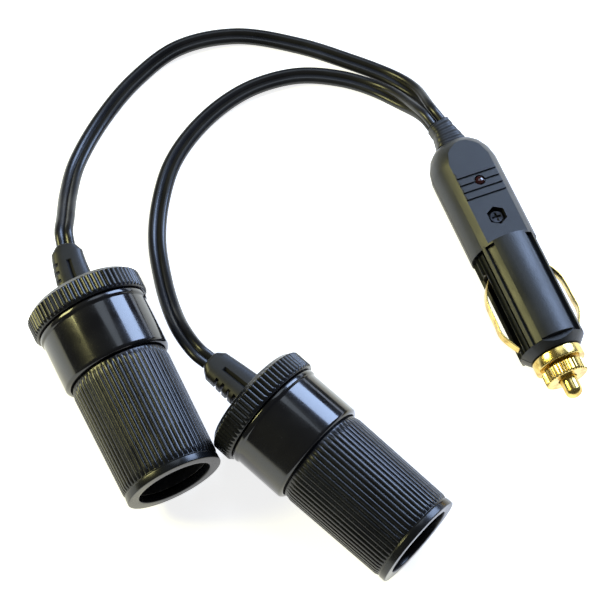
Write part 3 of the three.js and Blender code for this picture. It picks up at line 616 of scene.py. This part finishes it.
@dataclass(frozen=True)
class Boot:
    """Strain relief: a rounded block that narrows to the cord's entry and bends sideways."""

    length: float
    base: float
    entry: float
    height: float
    entry_height: float
    bend: float
    gap: float = 0.3
    corner: float = 3.4
    slot_start: float = 0.0
    slot_count: int = 0
    slot_pitch: float = 2.3
    slot_width: float = 0.9
    slot_depth: float = 1.1
    line_depth: float = 0.0
    line_back: float = 1.2
    line_front: float = 5.0
    line_fade: float = 0.6
    line_half_widths: tuple[float, float] = (0.3, 0.55)
    rib_depth: float = 0.0
    rib_pitch: float = 1.8
    rows: int = 120
    columns: int = 160

    def share(self, t: Array) -> Array:
        """How far the width has gone from base to entry."""
        return np.minimum(1.0, 0.2 + 1.3 * t)

    def surface(self) -> Surface:
        """Superellipse sections along a bent line.

        Half width and half height run from base to entry. A section's point at angle a
        is (w |cos a|^(2/n), h |sin a|^(2/n)) with the signs of cos and sin. Slots pull
        one side in, a groove runs along the top and bottom, and faint ribs cross it.

        Returns:
            The surface in the unit's own axes.
        """
        t = np.linspace(0, 1, self.rows)
        angle = np.linspace(0, 2 * math.pi, self.columns, endpoint=False)
        y = self.length * t
        w = 0.5 * (self.base + (self.entry - self.base) * self.share(t))
        h = 0.5 * (self.height + (self.entry_height - self.height) * t)
        round_end = np.sqrt(np.clip(1 - (ramp(t, 0.94, 1.06) * 1.1) ** 2, 0.2, 1))
        w, h = w * round_end, h * round_end
        c, s = np.cos(angle), np.sin(angle)
        power = 2 / self.corner
        x = w[:, None] * np.sign(c) * np.abs(c) ** power
        z = h[:, None] * np.sign(s) * np.abs(s) ** power
        if self.slot_count:
            local = (y - self.slot_start) % self.slot_pitch
            inside = (y > self.slot_start) & (
                y < self.slot_start + (self.slot_count - 1) * self.slot_pitch + self.slot_width)
            slot = ramp(local, -0.05, 0.12) * (1 - ramp(local, self.slot_width - 0.12,
                                                        self.slot_width + 0.05)) * inside
            x = x + self.slot_depth * slot[:, None] * (x < -(w[:, None] - self.slot_depth - 0.4))
        if self.line_depth:
            front = self.length - self.line_front
            along = ramp(y, self.line_back, self.line_back + self.line_fade)
            along = along * (1 - ramp(y, front - self.line_fade, front))
            groove = (1 - ramp(np.abs(x), *self.line_half_widths)) * along[:, None]
            z = z - np.sign(z) * self.line_depth * groove
        if self.rib_depth:
            wave = 0.5 + 0.5 * np.cos(2 * math.pi * y / self.rib_pitch)
            z = z - np.sign(z) * self.rib_depth * wave[:, None]
        lean = np.arctan(2 * self.bend * t / self.length)
        points = np.stack([self.bend * t[:, None] ** 2 + x * np.cos(lean)[:, None],
                           self.gap + y[:, None] - x * np.sin(lean)[:, None], z], axis=-1)
        ends = [np.broadcast_to(points[k].mean(axis=0), points[0].shape)[None] for k in (0, -1)]
        return grid(np.concatenate([ends[0], points, ends[1]]), False)


class SocketBoot(Boot):
    """Boot of a socket: long and straight, then quickly down to the flat cord."""

    def share(self, t: Array) -> Array:
        """Slow over most of its length, then fast near the entry."""
        return np.where(t < 0.85, 0.45 * t, 0.3825 + (t - 0.85) * 4.1)


def flanged_neck(neck: float, flange: float, back: float, front: float,
                 ease: float) -> Surface:
    """Round neck of a boot, with the flange that holds it behind a wall.

    Args:
        neck: radius of the neck.
        flange: radius of the flange.
        back: station of the flange's rear face.
        front: station of its front face.
        ease: rounding of the corners.

    Returns:
        The surface in the unit's own axes; it starts a little inside the boot.
    """
    start = -NECK_OVERLAP
    outline = eased([(0, start), (neck, start), (neck, back), (flange, back), (flange, front),
                     (0, front)], ease, closed=False)
    return turned(outline, closed=False, segments=48)


@dataclass(frozen=True)
class Socket:
    """A socket: end cap, collar, ribbed barrel, boot and what the bore holds."""

    side: str
    place: Place
    boot_bend: float
    cap_radius: float = 17.2
    cap_length: float = 7.3
    cap_wall: float = 2.2
    cap_skirt: float = 2.9
    cap_edge: float = 1.3
    cap_teeth: int = 66
    cap_tooth: float = 0.5
    collar_radius: float = 15.75
    collar_length: float = 17.5
    collar_wall: float = 1.4
    bead_height: float = 0.45
    bead_length: float = 1.3
    shoulder: float = 2.4
    spigot_length: float = 4.2
    barrel_radius: float = 14.6
    barrel_length: float = 36.4
    barrel_taper: float = 0.45
    ribs: int = 58
    rib_height: float = 0.42
    rib_start: float = 1.1
    rib_stop: float = 2.3
    lip_length: float = 2.2
    bore: float = 21.4
    liner_wall: float = 0.5
    gap: float = 0.3
    neck_radius: float = 3.9
    flange_radius: float = 5.6
    flange_thickness: float = 1.5

    @classmethod
    def resting_tilt(cls) -> float:
        """Degrees by which a socket dips, as its cap's rim and its mouth touch the table."""
        drop = cls.cap_radius - (cls.barrel_radius - cls.barrel_taper)
        return math.degrees(math.atan2(drop, cls.collar_length + cls.barrel_length))

    @property
    def collar_end(self) -> float:
        """Station of the collar's front edge."""
        return self.cap_length + self.collar_length

    @property
    def mouth(self) -> float:
        """Station of the mouth."""
        return self.collar_end + self.barrel_length

    def cap(self) -> Surface:
        """Cup with a hole for the boot, and teeth round its rim."""
        root, inner = self.cap_radius - self.cap_tooth, self.cap_radius - self.cap_skirt
        hole = self.neck_radius + self.gap
        outline = eased([(hole, 0), (root - self.cap_edge, 0), (root, self.cap_edge),
                         (root, self.cap_length), (inner, self.cap_length),
                         (inner, self.cap_wall), (hole, self.cap_wall)], 0.35)
        teeth = Flutes(self.cap_teeth, self.cap_tooth, self.cap_edge * 0.75,
                       self.cap_length - 0.25, root - 0.8, 0.5,
                       (-0.5, -0.32, -0.16, 0.0, 0.16, 0.32), (0.0, 0.5, 0.94, 1.0, 0.94, 0.5))
        return turned(filled_in(outline, 0.5), flutes=teeth)

    def collar(self) -> Surface:
        """Smooth band with a bead at its back and a spigot inside the cap."""
        back, inner = self.cap_length + self.gap, self.collar_radius - self.collar_wall
        spigot = self.cap_radius - self.cap_skirt - self.gap
        bead = self.collar_radius + self.bead_height
        return turned(eased([
            (spigot - self.collar_wall, back - self.spigot_length),
            (spigot, back - self.spigot_length), (spigot, back), (bead, back),
            (bead, back + self.bead_length), (self.collar_radius, back + self.bead_length + 0.4),
            (self.collar_radius, self.collar_end - 0.7),
            (self.collar_radius - 0.7, self.collar_end), (inner, self.collar_end),
            (inner, back + self.shoulder), (spigot - self.collar_wall, back + self.shoulder),
        ], 0.4))

    def barrel(self) -> Surface:
        """Tube with rounded ribs, a plain band at each end and a rolled lip."""
        root, neck = self.barrel_radius - self.rib_height, self.collar_radius - self.collar_wall
        neck -= self.gap
        inner = self.bore / 2 + self.liner_wall + self.gap
        back = self.cap_length + self.gap + self.shoulder + self.gap
        lip = root - self.barrel_taper + 0.3
        mouth, bore = self.mouth, self.bore / 2
        outline = eased([
            (inner, back), (neck, back), (neck, self.collar_end + self.gap),
            (root, self.collar_end + self.gap), (root - self.barrel_taper, mouth - self.rib_stop),
            (lip, mouth - self.rib_stop + 0.3), (lip, mouth), (bore, mouth),
            (bore, mouth - self.lip_length), (inner, mouth - self.lip_length)], 0.3)
        ribs = Flutes(self.ribs, self.rib_height, self.collar_end + self.rib_start,
                      mouth - self.rib_stop, neck - 1.0, 0.7,
                      (-0.5, -0.42, -0.33, -0.22, 0.0, 0.22, 0.33, 0.42),
                      (0.0, 0.1, 0.72, 0.95, 1.0, 0.95, 0.72, 0.1))
        return turned(filled_in(outline, 1.1), flutes=ribs)

    def boot(self) -> Surface:
        """Strain relief with slots, joined to its neck and flange inside the cap."""
        block = SocketBoot(length=15.4, base=11.2, entry=5.4, height=8.4, entry_height=6.0,
                           bend=self.boot_bend, gap=self.gap, slot_start=2.2, slot_count=4,
                           line_depth=1.0)
        back = self.cap_wall + self.gap
        return block.surface() + flanged_neck(self.neck_radius, self.flange_radius, back,
                                              back + self.flange_thickness, ease=0.15)

    def build(self, shop: Workshop) -> None:
        """Makes and dresses all pieces of the socket."""
        for part, surface, slot, node in (
                ("cap_knurled", self.cap(), Slot.SOCKET, "end_cap"),
                ("collar_polished", self.collar(), Slot.COLLAR, "collar"),
                ("barrel_ribbed", self.barrel(), Slot.SOCKET, "barrel"),
                ("boot_slotted", self.boot(), Slot.BOOT, "strain_relief")):
            shop.piece(f"{self.side}_{part}", self.place.put(surface), slot,
                       [f"{self.side}_{node}"])
        # The liner takes the nickel finish whose near-black colour is painted shade for the bore.
        for node, slot in (("liner", Slot.NICKEL), ("insulator", Slot.FIBRE),
                           ("centre_contact", Slot.BRASS)):
            shop.softened(f"{self.side}_{node}_finished", f"{self.side}_{node}", slot,
                          edge_mm=0.08)
        for node, slot in (("rear_washer", Slot.FIBRE), ("ground_tab", Slot.NICKEL),
                           ("live_wire", Slot.RED_WIRE), ("ground_wire", Slot.BLACK_WIRE)):
            shop.dress(f"{self.side}_{node}", slot)


@dataclass(frozen=True)
class Plug:
    """The plug: grained shells, brass nose and tip, bowed side contacts and the fuse."""

    place: Place
    length: float = 71.8
    bush_radius: float = 7.5
    bush_length: float = 3.2
    bush_outer: float = 5.9
    bush_inner: float = 4.9
    sleeve_length: float = 3.7
    spigot_outer: float = 4.6
    spigot_inner: float = 3.6
    spigot_length: float = 7.4
    neck_radius: float = 5.2
    neck_length: float = 0.4
    knurl_radius: float = 6.3
    knurl_length: float = 3.8
    knurl_teeth: int = 40
    knurl_depth: float = 0.35
    face: float = 1.4
    pin_radius: float = 2.5
    pin_reach: float = 5.9
    pin_dome: float = 0.8
    flange_radius: float = 3.2
    flange_thickness: float = 1.4
    boot_neck: float = 3.6
    boot_flange: float = 5.6
    boot_flange_ends: tuple[float, float] = (2.9, 4.2)
    gap: float = 0.3
    contact_width: float = 3.2
    contact_thickness: float = 0.5
    spring_wire: float = 0.8
    spring_radius: float = 2.6
    spring_turns: int = 5
    spring_ends: tuple[float, float] = (36.8, 45.8)
    spring_travel: float = 3.0
    contact_line: tuple[tuple[float, float], ...] = (
        (7.9, 43.6), (10.0, 46.2), (11.7, 50.0), (12.15, 57.6), (12.15, 61.2), (10.3, 65.2),
        (9.2, 66.9))

    @property
    def cap_back(self) -> float:
        """Station of the back of the tip cap's collar."""
        return self.length + self.gap + self.bush_length + self.gap

    @property
    def cap_front(self) -> float:
        """Station of the tip cap's face."""
        return self.cap_back + self.neck_length + self.knurl_length

    def bush(self) -> Surface:
        """Sleeve with the bright ring in front of the shells."""
        back, seat = self.length - self.sleeve_length, self.length + self.gap
        front = seat + self.bush_length
        return turned(eased([
            (self.bush_inner, back), (self.bush_outer, back), (self.bush_outer, seat),
            (self.bush_radius, seat), (self.bush_radius, front), (self.bush_inner, front)], 0.35))

    def tip_cap(self) -> Surface:
        """Knurled cap with its spigot and the hole for the pin."""
        back, knurl = self.cap_back - self.spigot_length, self.cap_back + self.neck_length
        root, hole = self.knurl_radius - self.knurl_depth, self.pin_radius + self.gap
        outline = eased([
            (self.spigot_inner, back), (self.spigot_outer, back),
            (self.spigot_outer, self.cap_back), (self.neck_radius, self.cap_back),
            (self.neck_radius, knurl), (root, knurl), (root, self.cap_front),
            (hole, self.cap_front), (hole, self.cap_front - self.face),
            (self.spigot_inner, self.cap_front - self.face)], 0.2)
        teeth = Flutes(self.knurl_teeth, self.knurl_depth, knurl - 0.1, self.cap_front,
                       root - 0.25, 0.3, (-0.5, -0.3, -0.1, 0.1, 0.3), (0, 0.5, 1, 1, 0.5))
        return turned(filled_in(outline, 0.35), flutes=teeth)

    def pin(self) -> Surface:
        """Domed pin with the flange that holds it in the cap."""
        flange, end = self.cap_front - self.face - self.gap, self.cap_front + self.pin_reach
        dome = np.linspace(0, math.pi / 2, 14)
        depth = self.pin_radius * self.pin_dome
        nose = np.stack([self.pin_radius * np.cos(dome), end - depth * (1 - np.sin(dome))], axis=1)
        back = flange - self.flange_thickness
        start = np.array([(0, back), (self.flange_radius, back),
                          (self.flange_radius, flange), (self.pin_radius, flange)])
        return turned(np.vstack([start, nose]), closed=False, segments=72)

    def contact(self, side: int) -> Surface:
        """Bowed strip: a rounded flat section along a smooth line beside the body."""
        line = np.array([(side * x, -s, 0.0) for x, s in self.contact_line])
        path = through(line, 90)
        along = np.gradient(path, axis=0)
        along /= np.linalg.norm(along, axis=1)[:, None]
        across = np.broadcast_to(np.array([0.0, 0.0, 1.0]), path.shape)
        over = np.cross(across, along)
        w, h = self.contact_width / 2, self.contact_thickness / 2
        section = eased([(-w, -h), (w, -h), (w, h), (-w, h)], 0.16)
        return swept(path, across, over, section)

    def spring(self) -> Surface:
        """Helix: radius r, angle 2 pi n u and station from start to end as u runs 0 to 1."""
        u = np.linspace(0, 1, self.spring_turns * 40)
        angle, radius = 2 * math.pi * self.spring_turns * u, self.spring_radius
        first, last = self.spring_ends
        path = np.stack([radius * np.cos(angle), -(first + (last - first) * u),
                         radius * np.sin(angle)], axis=1)
        along = np.gradient(path, axis=0)
        along /= np.linalg.norm(along, axis=1)[:, None]
        outward = np.stack([np.cos(angle), np.zeros_like(u), np.sin(angle)], axis=1)
        ring = np.linspace(0, 2 * math.pi, 12, endpoint=False)
        section = np.stack([np.cos(ring), np.sin(ring)], axis=1) * self.spring_wire / 2
        return swept(path, outward, np.cross(along, outward), section)

    def boot(self) -> Surface:
        """Short flared strain relief that both cords leave on edge."""
        block = Boot(length=8.2, base=10.2, entry=7.0, height=7.0, entry_height=6.2, bend=-0.95,
                     gap=self.gap, corner=3.6, rib_depth=0.18)
        return block.surface() + flanged_neck(self.boot_neck, self.boot_flange,
                                              *self.boot_flange_ends, ease=0.12)

    def build(self, shop: Workshop) -> None:
        """Makes and dresses all pieces of the plug."""
        for name, surface, slot, node, body in (
                ("nose_bush_turned", self.bush(), Slot.BRASS, "nose_bush", Body.ROOT),
                ("tip_cap_knurled", self.tip_cap(), Slot.BRASS, "tip_cap", Body.TIP_CAP),
                ("contact_pin_domed", self.pin(), Slot.BRASS, "contact_pin", Body.PIN),
                ("side_contact_left_bowed", self.contact(-1), Slot.BRASS, "side_contact_left",
                 Body.LEFT_CONTACT),
                ("side_contact_right_bowed", self.contact(1), Slot.BRASS, "side_contact_right",
                 Body.RIGHT_CONTACT),
                ("plug_boot_flared", self.boot(), Slot.BOOT, "plug_strain_relief", Body.ROOT)):
            shop.piece(name, self.place.put(surface), slot, [node], body)
        spring = shop.piece("fuse_spring_coiled", self.place.put(self.spring()), Slot.STEEL,
                            ["fuse_spring"])
        anchor = np.array(self.place.origin) + self.place.matrix() @ np.array(
            [0, -(self.spring_ends[0] - self.spring_wire / 2), 0])
        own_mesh(spring)
        for node, slot, edge in (("plug_upper_shell", Slot.PLUG, 0.2),
                                 ("plug_lower_shell", Slot.PLUG, 0.2),
                                 ("plug_screw", Slot.STEEL, 0.1), ("led_lens", Slot.LENS, 0.08),
                                 ("rear_contact", Slot.BRASS, 0.06)):
            shop.softened(f"{node}_finished", node, slot, edge_mm=edge)
        for node, slot in (("led_resistor", Slot.RESISTOR), ("fuse_glass", Slot.GLASS),
                           ("fuse_cap_rear", Slot.NICKEL), ("fuse_cap_front", Slot.NICKEL),
                           ("ground_ring", Slot.BRASS), ("plug_live_wire", Slot.RED_WIRE),
                           ("plug_ground_wire", Slot.BLACK_WIRE)):
            shop.dress(node, slot)


@dataclass(frozen=True)
class TwinCord:
    """Flat twin cord: two round lobes side by side, on edge where it leaves the plug."""

    name: str
    node: str
    route: tuple[tuple[float, float, float], ...]
    length: float
    lobe: float = 1.35
    web: float = 0.42
    samples: int = 240
    twist_start: float = 0.03
    twist_end: float = 0.17

    def section(self) -> Array:
        """Two touching circles; the web between them is 2 x web x lobe thick."""
        x = np.cos(np.linspace(0, math.pi, 25)) * 2 * self.lobe
        inside = np.abs(np.abs(x) - self.lobe)
        y = np.sqrt(np.clip(self.lobe**2 - inside**2, 0, None))
        y = np.maximum(y, self.web * self.lobe * (np.abs(x) < self.lobe))
        upper = np.stack([x, y], axis=1)
        return np.vstack([upper, (upper * [1, -1])[-2:0:-1]])

    def build(self, shop: Workshop) -> None:
        path = through(np.array(self.route), self.samples)
        along = np.gradient(path, axis=0)
        along /= np.linalg.norm(along, axis=1)[:, None]
        flat = np.cross(along, [0.0, 0.0, 1.0])
        flat /= np.linalg.norm(flat, axis=1)[:, None]
        rise = np.cross(flat, along)
        share = np.linspace(0, 1, self.samples)
        turn = (1 - ramp(share, self.twist_start, self.twist_end)) * math.pi / 2
        c, s = np.cos(turn)[:, None], np.sin(turn)[:, None]
        surface = swept(path, flat * c + rise * s, rise * c - flat * s, self.section())
        piece = shop.piece(self.name, surface, Slot.CORD, [self.node], sharp=80.0)


# Stage


@dataclass(frozen=True)
class Softbox:
    """Rectangular studio light aimed at the object."""

    name: str
    position: tuple[float, float, float]
    size: tuple[float, float]
    power: float
    colour: Colour

    def build(self, target: Vector) -> None:
        """Adds the light, turned to the target."""
        lamp = bpy.data.lights.new(self.name, "AREA")
        lamp.shape, lamp.size, lamp.size_y = "RECTANGLE", *self.size
        lamp.energy, lamp.color = self.power, self.colour
        holder = bpy.data.objects.new(self.name, lamp)
        holder.location = self.position
        holder.rotation_mode = "QUATERNION"
        holder.rotation_quaternion = (target - Vector(self.position)).to_track_quat("-Z", "Y")
        bpy.context.scene.collection.objects.link(holder)


@dataclass(frozen=True)
class Studio:
    """Camera at the photograph's angle, a pale floor that glows with a painted pool of light, and
    soft light.

    The target and the distance are in millimetres, the floor and the lights in metres.
    """

    target: tuple[float, float, float] = (4.20, 27.40, 0.0)
    azimuth: float = -22.487
    elevation: float = 65.967
    distance: float = 612.075
    focal_px: float = 2100.0
    frame_px: float = 611.0
    sensor_mm: float = 36.0
    floor_half: float = 4.0
    floor_depth: float = 0.0002
    # Radius and strength of the floor's painted glow: a pool of light round the centre.
    glow_pool_radius: float = 0.25
    floor_glow: float = 0.8
    room_strength: float = 0.1
    lights: tuple[Softbox, ...] = (
        Softbox("key_cool", (0.70, 0.36, 0.48), (0.45, 0.5), 10.0, (0.5, 0.66, 1.0)),
        Softbox("fill_warm", (-0.68, 0.36, 0.55), (0.28, 0.4), 6.0, (1.0, 0.95, 0.42)),
        Softbox("top_cool", (0.25, 0.45, 1.0), (0.5, 0.5), 1.5, (0.75, 0.86, 1.0)),
    )

    def camera(self) -> None:
        """Adds the camera: azimuth 0 looks along +Y, elevation is above the horizon."""
        a, e = math.radians(self.azimuth), math.radians(self.elevation)
        back = Vector((math.sin(a) * math.cos(e), -math.cos(a) * math.cos(e), math.sin(e)))
        data = bpy.data.cameras.new("photo_camera")
        data.sensor_width = self.sensor_mm
        data.lens = self.sensor_mm * self.focal_px / self.frame_px
        data.clip_start, data.clip_end = 0.01, 20.0
        holder = bpy.data.objects.new("photo_camera", data)
        holder.location = (Vector(self.target) + back * self.distance) * MM
        holder.rotation_mode = "QUATERNION"
        holder.rotation_quaternion = (-back).to_track_quat("-Z", "Y")
        bpy.context.scene.collection.objects.link(holder)
        bpy.context.scene.camera = holder

    def floor(self) -> None:
        """Adds a wide pale floor just under the object; it glows with painted light, brightest in
        a pool round the centre and dimming further out.
        """
        mesh = bpy.data.meshes.new("floor")
        half, depth = self.floor_half, -self.floor_depth
        mesh.from_pydata([(-half, -half, depth), (half, -half, depth), (half, half, depth),
                          (-half, half, depth)], [], [(0, 1, 2, 3)])
        graph = Graph("pale_floor_painted_glow")
        cloud = graph.spread(graph.noise(60.0, 2.0), 0.0, 1.0)
        graph.feed("Base Color", graph.tint(cloud, (0.93, 0.93, 0.93), (0.95, 0.95, 0.95)))
        graph.feed("Roughness", 0.9)
        graph.feed("Specular IOR Level", 0.0)
        # Painted pool of light: the floor's emission is full white near the centre and fades to
        # dim grey further away.
        away = graph.node("ShaderNodeVectorMath", {"operation": "LENGTH"}, {0: graph.place},
                          output="Value")
        fade = graph.spread(away, 0.0, 1.0, self.glow_pool_radius, 3 * self.glow_pool_radius)
        graph.feed("Emission Color", graph.tint(fade, (1.0, 1.0, 1.0), (0.3, 0.3, 0.3)))
        graph.feed("Emission Strength", self.floor_glow)
        mesh.materials.append(graph.material)
        floor = bpy.data.objects.new("floor", mesh)
        bpy.context.scene.collection.objects.link(floor)

    def build(self) -> None:
        """Adds camera, floor, lights and the even light of the room."""
        self.camera()
        self.floor()
        for light in self.lights:
            light.build(Vector(self.target) * MM)
        world = bpy.data.worlds.new("room_light")
        world.use_nodes = True
        ground = world.node_tree.nodes["Background"]
        ground.inputs["Color"].default_value = (0.92, 0.95, 1.0, 1.0)
        ground.inputs["Strength"].default_value = self.room_strength
        bpy.context.scene.world = world
        bpy.context.scene.view_settings.view_transform = "Standard"


OUTER_ROUTE = (
    (61.9, 61.4, 10.2), (61.0, 65.3, 10.3), (60.3, 76.4, 4.6), (56.0, 85.4, 2.2),
    (45.9, 96.5, 1.5), (34.5, 106.8, 1.5), (18.1, 117.2, 1.5), (0.3, 120.0, 1.5),
    (-16.1, 114.4, 1.5), (-30.6, 104.8, 2.0), (-42.4, 92.5, 5.0), (-48.6, 81.3, 10.0),
    (-52.5, 71.3, 15.8), (-54.8, 65.5, 18.7), (-55.6, 61.6, 18.4),
)
INNER_ROUTE = (
    (58.7, 60.7, 10.5), (57.8, 64.6, 10.6), (55.1, 74.4, 5.6), (50.4, 83.1, 2.4),
    (41.9, 91.1, 1.5), (30.4, 96.9, 1.5), (17.1, 98.4, 1.5), (5.3, 96.1, 1.5),
    (-6.6, 90.5, 1.5), (-16.2, 82.9, 1.5), (-23.9, 72.2, 1.5), (-29.1, 61.0, 2.4),
    (-32.3, 47.7, 5.6), (-34.0, 35.6, 10.2), (-34.3, 25.0, 15.8), (-32.8, 16.5, 18.7),
    (-30.9, 13.0, 18.4),
)


def main() -> None:
    """Builds the stage, the cords and the three units."""
    logging.basicConfig(level=logging.INFO, format="%(name)s %(message)s")
    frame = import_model()
    shop = Workshop(frame)
    Studio().build()
    TwinCord("cord_left_twin", "cord_left", OUTER_ROUTE, 184.1).build(shop)
    TwinCord("cord_right_twin", "cord_right", INNER_ROUTE, 179.4).build(shop)
    tilt = Socket.resting_tilt()
    Socket("left", Place((-56.799, 45.486, 17.537), turn=4.3, tilt=tilt), 2.3).build(shop)
    Socket("right", Place((-23.619, -1.204, 17.537), turn=25.5, tilt=tilt), -0.4).build(shop)
    Plug(Place((61.361, 52.246, 10.292), roll=5.0)).build(shop)


if __name__ == "__main__":
    main()
